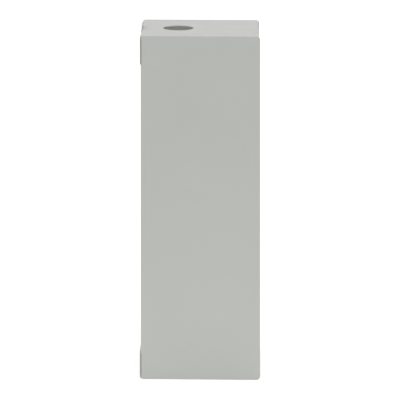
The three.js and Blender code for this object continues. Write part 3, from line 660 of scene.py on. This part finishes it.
def jaw_leaf(bm, x, zc, m, y_strap, line, t, half, r_tip, r_foot, cols=6):
    """One formed spring leaf: a middle line of (offset from the blade, height off the strap), drawn out in Z with rounded corners."""
    mid = spline(line, 5)
    length = [0.0]
    for (a, b), (c, d) in zip(mid, mid[1:]):
        length.append(length[-1] + math.hypot(c - a, d - b))
    total = length[-1]

    def reach(dist, r):
        return half - r + math.sqrt(max(0.0, r * r - (r - dist) ** 2)) if dist < r else half

    # extra stations close to both ends, so that the corners come out round
    stations = sorted(set([0.0, total] + length + [r_foot * f for f in (0.08, 0.25, 0.5, 0.75)] + [total - r_tip * f for f in (0.08, 0.25, 0.5, 0.75)]))
    rows = []
    for s in stations:
        i = max(0, min(len(mid) - 2, next((k for k in range(1, len(length)) if length[k] >= s), len(length) - 1) - 1))
        f = (s - length[i]) / max(1e-9, length[i + 1] - length[i])
        u = mid[i][0] + (mid[i + 1][0] - mid[i][0]) * f
        v = mid[i][1] + (mid[i + 1][1] - mid[i][1]) * f
        a, b = mid[max(0, i - 1)], mid[min(len(mid) - 1, i + 2)]
        du, dv = b[0] - a[0], b[1] - a[1]
        k = math.hypot(du, dv)
        nu, nv = -dv / k, du / k
        hw = min(reach(s, r_foot), reach(total - s, r_tip))
        row = []
        for side in (1, -1):
            for c in range(cols + 1):
                z = zc + hw * (2 * c / cols - 1) * side
                uu, vv = u + side * nu * t / 2, v + side * nv * t / 2
                row.append(bm.verts.new((x + m * uu, y_strap - vv, z)))
        rows.append(row)
    for a, b in zip(rows, rows[1:]):
        bridge(bm, a, b)
    n = cols + 1
    for row in (rows[0], rows[-1]):
        for c in range(cols):
            bm.faces.new((row[c], row[c + 1], row[2 * n - 2 - c], row[2 * n - 1 - c]))


def jaw(node, new_name, x, zc, d):
    """Formed jaw on its strap: coined strap with a screw hole, two spring leaves riveted to it."""
    lo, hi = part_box(node)
    back, front = hi[1], hi[1] - 0.004
    za, zb = lo[2], hi[2]
    screw_z = zc + d * 0.0205
    strap = slab(bmesh.new(), soft_rect(x, (za + zb) / 2, 0.012, (zb - za) / 2, 0.003), front, back)
    strap = carve(strap, [turned(bmesh.new(), x, screw_z, [(0, front - 0.002), (0.0025, front - 0.002), (0.0025, back + 0.002), (0, back + 0.002)], 32)])
    g = 0.0013
    line = [(0.0113, 0.00072), (0.0062, 0.00072), (0.0040, 0.0011), (0.0029, 0.0027), (0.0024, 0.0055), (0.0023, 0.0095),
            (0.0020, 0.0135), (0.00195, 0.0160), (0.0023, 0.0184), (0.0034, 0.0210), (0.0048, 0.0227), (0.0056, 0.0231)]
    for m in (1, -1):
        part = bmesh.new()
        jaw_leaf(part, x, zc, m, front - 0.00003, line, 0.0013, 0.0099, 0.0032, 0.0022)
        join_into(strap, part)
        for dz in (-0.0055, 0.0055):
            part = bmesh.new()
            top = front - 0.0014
            turned(part, x + m * 0.0086, zc + dz, [(0, top - 0.0009), (0.0006, top - 0.00086), (0.0011, top - 0.0007), (0.00155, top - 0.0004), (0.0017, top - 0.00005), (0, top - 0.00005)], 20)
            join_into(strap, part)
    o = new_piece(new_name, strap, BODY_OF[node], MAT["tin"], (node,), 32)
    round_edges(o, 0.00028)
    return o, screw_z, front


def jaw_spring(node, new_name, x, zc, body):
    """Spring band: a strip bowed in on its long sides, closed round both leaves."""
    lo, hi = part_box(node)
    y0, y1 = lo[1], hi[1]
    ax, az = (hi[0] - lo[0]) / 2 - 0.0007, (hi[2] - lo[2]) / 2 - 0.0007
    path = []
    for sx, sz, a0 in ((1, 1, 0), (-1, 1, 90), (-1, -1, 180), (1, -1, 270)):
        for k in range(7):
            a = math.radians(a0 + 90 * k / 6)
            path.append((sx * (ax - 0.0022) + 0.0022 * math.cos(a), sz * (az - 0.0022) + 0.0022 * math.sin(a)))
    full = []
    for i, p in enumerate(path):
        q = path[(i + 1) % len(path)]
        full.append(p)
        if abs(q[1] - p[1]) > 0.01:
            for k in range(1, 12):
                f = k / 12
                bow = 0.00115 * math.sin(math.pi * f) ** 1.5
                full.append((p[0] - math.copysign(bow, p[0]), p[1] + (q[1] - p[1]) * f))
    bm = bmesh.new()
    loops = []
    n = len(full)
    for i, (u, v) in enumerate(full):
        a, b = full[i - 1], full[(i + 1) % n]
        du, dv = b[0] - a[0], b[1] - a[1]
        k = math.hypot(du, dv)
        nu, nv = dv / k, -du / k
        sec = []
        for off, y in ((0.00065, y0 + 0.0004), (0.00045, y0), (-0.00045, y0), (-0.00065, y0 + 0.0004), (-0.00065, y1 - 0.0004), (-0.00045, y1), (0.00045, y1), (0.00065, y1 - 0.0004)):
            sec.append(bm.verts.new((x + u + nu * off, y, zc + v + nv * off)))
        loops.append(sec)
    for a, b in zip(loops, loops[1:] + loops[:1]):
        bridge(bm, a, b)
    return new_piece(new_name, bm, body, MAT["spring"], (node,), 40)


def dipped_grip(name, node, body):
    """Vinyl sleeve dipped over the lever's end: rounded all over, thicker at the tip, hollow for the strap."""
    lo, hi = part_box(node)
    cx, cy = (lo[0] + hi[0]) / 2, (lo[1] + hi[1]) / 2
    ax, ay = (hi[0] - lo[0]) / 2, (hi[1] - lo[1]) / 2
    z0, z1 = lo[2], hi[2]
    seg = 56
    bm = bmesh.new()

    def ring_at(z, kx, ky, e=3.2, dx=0.0, flat=None):
        out = []
        for i in range(seg):
            a = TAU * i / seg
            c, n = math.cos(a), math.sin(a)
            rr = (abs(c) ** e + abs(n) ** e) ** (-1 / e)
            out.append(bm.verts.new((cx + dx + kx * rr * c, cy + ky * rr * n, z)))
        return out

    rings = []
    tip = 0.0062
    for k in range(1, 9):
        a = k / 8 * math.pi / 2
        rings.append(ring_at(z0 + tip * (1 - math.cos(a)), ax * (0.05 + 0.95 * math.sin(a)), ay * (0.12 + 0.88 * math.sin(a)), 2.3 + 0.9 * k / 8))
    length = z1 - z0
    for f, k in ((0.25, 1.0), (0.36, 0.985), (0.48, 0.955), (0.60, 0.93), (0.72, 0.925), (0.82, 0.94), (0.90, 0.965)):
        rings.append(ring_at(z0 + length * f, ax * (1 - (1 - k) * 1.6), ay * k))
    rings.append(ring_at(z1 - 0.0012, ax * 0.97, ay * 0.985))
    rings.append(ring_at(z1 - 0.0004, ax * 0.93, ay * 0.975))
    rings.append(ring_at(z1, ax * 0.84, ay * 0.965))
    sx = (0.0842 - 0.0803) / 2
    sdx = (0.0842 + 0.0803) / 2 - cx

    def pocket(z, g=0.0):
        out = []
        for i in range(seg):
            a = TAU * i / seg
            c, n = math.cos(a), math.sin(a)
            e = 14
            rr = (abs(c) ** e + abs(n) ** e) ** (-1 / e)
            out.append(bm.verts.new((cx + sdx + (sx + g) * rr * c, cy + (0.0093 + g) * rr * n, z)))
        return out

    rings.append(pocket(z1 - 0.0001, 0.0002))
    rings.append(pocket(z1 - 0.0006))
    floor = z1 - (z1 - z0) + 0.0172
    rings.append(pocket(floor + 0.002))
    last = []
    for i in range(seg):
        a = TAU * i / seg
        c, n = math.cos(a), math.sin(a)
        rr = (abs(c) ** 14 + abs(n) ** 14) ** (-1 / 14)
        last.append(bm.verts.new((cx + sdx + sx * rr * c * 0.96, cy + 0.0093 * rr * n * 0.8, floor)))
    rings.append(last)
    for a, b in zip(rings, rings[1:]):
        bridge(bm, a, b)
    v = bm.verts.new((cx, cy, z0))
    for i in range(seg):
        bm.faces.new((rings[0][i], rings[0][(i + 1) % seg], v))
    bm.faces.new(last)
    return new_piece(name, bm, body, MAT["red"], (node,), 50)


# ------------------------------------------------------------------ which finish goes where
FINISH = {}
for n in NODES:
    if n in ("enclosure_shell", "top_end_wall", "bottom_end_wall", "cover", "cover_ledge_left", "cover_ledge_right"):
        FINISH[n] = ("paint", 0.0003)
    elif n == "meter_bracket":
        FINISH[n] = ("zinc", 0.0003)
    elif n in ("hasp", "hasp_base", "latch_staple"):
        FINISH[n] = ("zinc", 0.0003)
    elif n == "bypass_lever":
        FINISH[n] = ("lever_zinc", 0.0004)
    elif n == "bypass_shaft":
        FINISH[n] = ("shaft", 0.0005)
    elif n.endswith("jaw_block"):
        FINISH[n] = ("block", 0.0007)
    elif "bushing" in n or "cam" in n or "carrier" in n:
        FINISH[n] = ("fibre", 0.0004)
    elif "contact_bridge" in n:
        FINISH[n] = ("copper", 0.0005)
    elif n == "lever_grip":
        FINISH[n] = ("red", 0.0014)
    elif n == "ground_bond_screw":
        FINISH[n] = ("green", 0.0003)
    elif "jaw_band" in n:
        FINISH[n] = ("spring", 0.00035)
    elif "screw" in n or "nut" in n or "rivet" in n or "pin" in n:
        FINISH[n] = ("screw", 0.0003)
    elif "lug" in n:
        FINISH[n] = ("aluminium", 0.0005)
    else:
        FINISH[n] = ("tin", 0.0004)
for n, (m, w) in FINISH.items():
    finish_node(NODES[n], MAT[m], w)

METER_Z = (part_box("line_jaw_block")[0][2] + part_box("load_jaw_block")[1][2]) / 2
for side, k in (("left", -1), ("right", 1)):
    for which, d in (("line", 1), ("load", -1)):
        socket_screw(f"{which}_lug_set_screw_{side}", f"{which}_lug_screw_{side}")
        lo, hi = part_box(f"{which}_jaw_band_{side}")
        x, zc = (lo[0] + hi[0]) / 2, (lo[2] + hi[2]) / 2
        o, screw_z, front = jaw(f"{which}_jaw_{side}", f"{which}_formed_jaw_{side}", x, zc, d)
        jaw_spring(f"{which}_jaw_band_{side}", f"{which}_jaw_spring_{side}", x, zc, "enclosure")
        pan_screw(f"{which}_strap_screw_{side}", x, screw_z, front, front + 0.0038, "enclosure", turn=0.5 + 0.9 * k + 1.3 * d)
lo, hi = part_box("neutral_strap")
nx, nz = (lo[0] + hi[0]) / 2, (lo[2] + hi[2]) / 2
bm = slab(bmesh.new(), soft_rect(nx, nz, (hi[0] - lo[0]) / 2, (hi[2] - lo[2]) / 2, 0.002), lo[1], hi[1])
holes = [turned(bmesh.new(), nx, nz + d * 0.050, [(0, lo[1] - 0.002), (0.0025, lo[1] - 0.002), (0.0025, hi[1] + 0.002), (0, hi[1] + 0.002)], 32) for d in (1, -1)]
o = new_piece("neutral_bus_strap", carve(bm, holes), "enclosure", MAT["tin"], ("neutral_strap",), 32)
round_edges(o, 0.0004)
for which, d in (("line", 1), ("load", -1)):
    socket_screw(f"neutral_set_screw_{which}", f"neutral_lug_screw_{which}")
    pan_screw(f"neutral_strap_screw_{which}", nx, nz + d * 0.050, lo[1], lo[1] + 0.0038, "enclosure", r=0.0040, turn=0.2 + 0.8 * d, washer=0.0052)
for i in (1, 2):
    domed_rivet(f"hasp_rivet_head_{i}", f"hasp_rivet_{i}", "cover")
    domed_rivet(f"staple_rivet_head_{i}", f"staple_rivet_{i}", "enclosure")
for i in range(1, 5):
    lo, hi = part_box(f"block_screw_{i}")
    hex_screw(f"block_hex_screw_{i}", f"block_screw_{i}", "enclosure", lo[1] + 0.0041, thread_from=hi[1] - 0.012)
    hex_nut(f"bracket_hex_nut_{i}", f"bracket_nut_{i}", "enclosure")
lo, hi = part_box("ground_bond_screw")
hex_screw("green_bond_screw", "ground_bond_screw", "enclosure", lo[1] + 0.0041, "green", shank_r=0.0029)
slot_screw("ground_wire_screw", "ground_lug_screw")
dipped_grip("dipped_lever_grip", "lever_grip", "bypass_lever")


# ------------------------------------------------------------------ stage
def stage_floor():
    bm = bmesh.new()
    bmesh.ops.create_grid(bm, x_segments=2, y_segments=2, size=40)
    me = bpy.data.meshes.new("floor")
    bm.to_mesh(me)
    bm.free()
    o = bpy.data.objects.new("floor", me)
    bpy.context.scene.collection.objects.link(o)
    m = Tree("pale_floor")
    m.set(color=(0.62, 0.62, 0.62), rough=0.9, spec=0.1)
    m.b.inputs["Emission Color"].default_value = (1, 1, 1, 1)
    m.b.inputs["Emission Strength"].default_value = 0.45
    me.materials.append(m.mat)


stage_floor()

world = bpy.data.worlds.new("studio")
bpy.context.scene.world = world
world.use_nodes = True
wt = world.node_tree
bg = wt.nodes["Background"] if "Background" in wt.nodes else wt.nodes.new("ShaderNodeBackground")
bg.inputs[0].default_value = (1, 1, 1, 1)
bg.inputs[1].default_value = 1.012


def area(name, loc, target, size, power, color=(1, 1, 1)):
    d = bpy.data.lights.new(name, "AREA")
    d.color = color
    d.shape = "RECTANGLE"
    d.size, d.size_y = size
    d.energy = power
    o = bpy.data.objects.new(name, d)
    o.location = loc
    o.rotation_mode = "QUATERNION"
    o.rotation_quaternion = (Vector(target) - Vector(loc)).to_track_quat("-Z", "Y")
    bpy.context.scene.collection.objects.link(o)
    o.visible_camera = False
    return o


area("overhead", (-0.5, -0.4, 3.2), (0, 0, 0.4), (3.0, 3.0), 39, (0.97, 0.83, 1.0))
for k in range(4):
    a = k * math.pi / 2
    area(f"low_fill_{k}", (0.46 * math.cos(a), 0.46 * math.sin(a), 0.055), (0, 0, 0.03), (0.9, 0.08), 0.19)
# a dim lamp inside the box keeps its inner walls readable through the openings
lamp = bpy.data.lights.new("inside", "POINT")
lamp.energy = 0.17
lamp.shadow_soft_size = 0.03
lamp_o = bpy.data.objects.new("inside", lamp)
lamp_o.location = (0, 0.045, 0.60)
lamp_o.visible_camera = False
bpy.context.scene.collection.objects.link(lamp_o)

# ------------------------------------------------------------------ camera: a long lens, level, with the picture shifted down
F_PX, WIDE = 2700.0, 400.0
YAW = math.radians(1.7)
fwd = Vector((math.cos(YAW), math.sin(YAW), 0))
right = Vector((math.sin(YAW), -math.cos(YAW), 0))
lo, hi = CAD_BOX
near = Vector((lo[0], -0.00085, 0))
cam_data = bpy.data.cameras.new("camera")
cam_data.sensor_width = 36.0
cam_data.lens = F_PX * 36.0 / WIDE
cam_data.clip_start, cam_data.clip_end = 0.1, 100
cam = bpy.data.objects.new("camera", cam_data)
cam.location = near - fwd * 5.1985 - right * 0.09726 + Vector((0, 0, 1.5187))
cam.rotation_euler = (math.pi / 2, 0, -math.pi / 2 + YAW)
bpy.context.scene.collection.objects.link(cam)
bpy.context.scene.camera = cam
# The lens shift belongs to this camera position only: anywhere nearer along X it fades to none, so other views stay centred.
for channel, shift in (("shift_x", 50.13 / WIDE), ("shift_y", -609.27 / WIDE)):
    setattr(cam_data, channel, shift)
    curve = cam_data.driver_add(channel)
    curve.driver.type = "AVERAGE"
    var = curve.driver.variables.new()
    var.type = "TRANSFORMS"
    var.targets[0].id = cam
    var.targets[0].transform_type = "LOC_X"
    var.targets[0].transform_space = "WORLD_SPACE"
    while curve.modifiers:
        curve.modifiers.remove(curve.modifiers[0])
    while len(curve.keyframe_points):
        curve.keyframe_points.remove(curve.keyframe_points[0])
    for x, v in ((-5.295, shift), (-5.255, 0.0)):
        k = curve.keyframe_points.insert(x, v)
        k.interpolation = "LINEAR"
    curve.extrapolation = "CONSTANT"

view = bpy.context.scene.view_settings
view.view_transform = "Standard"
view.look = "None"
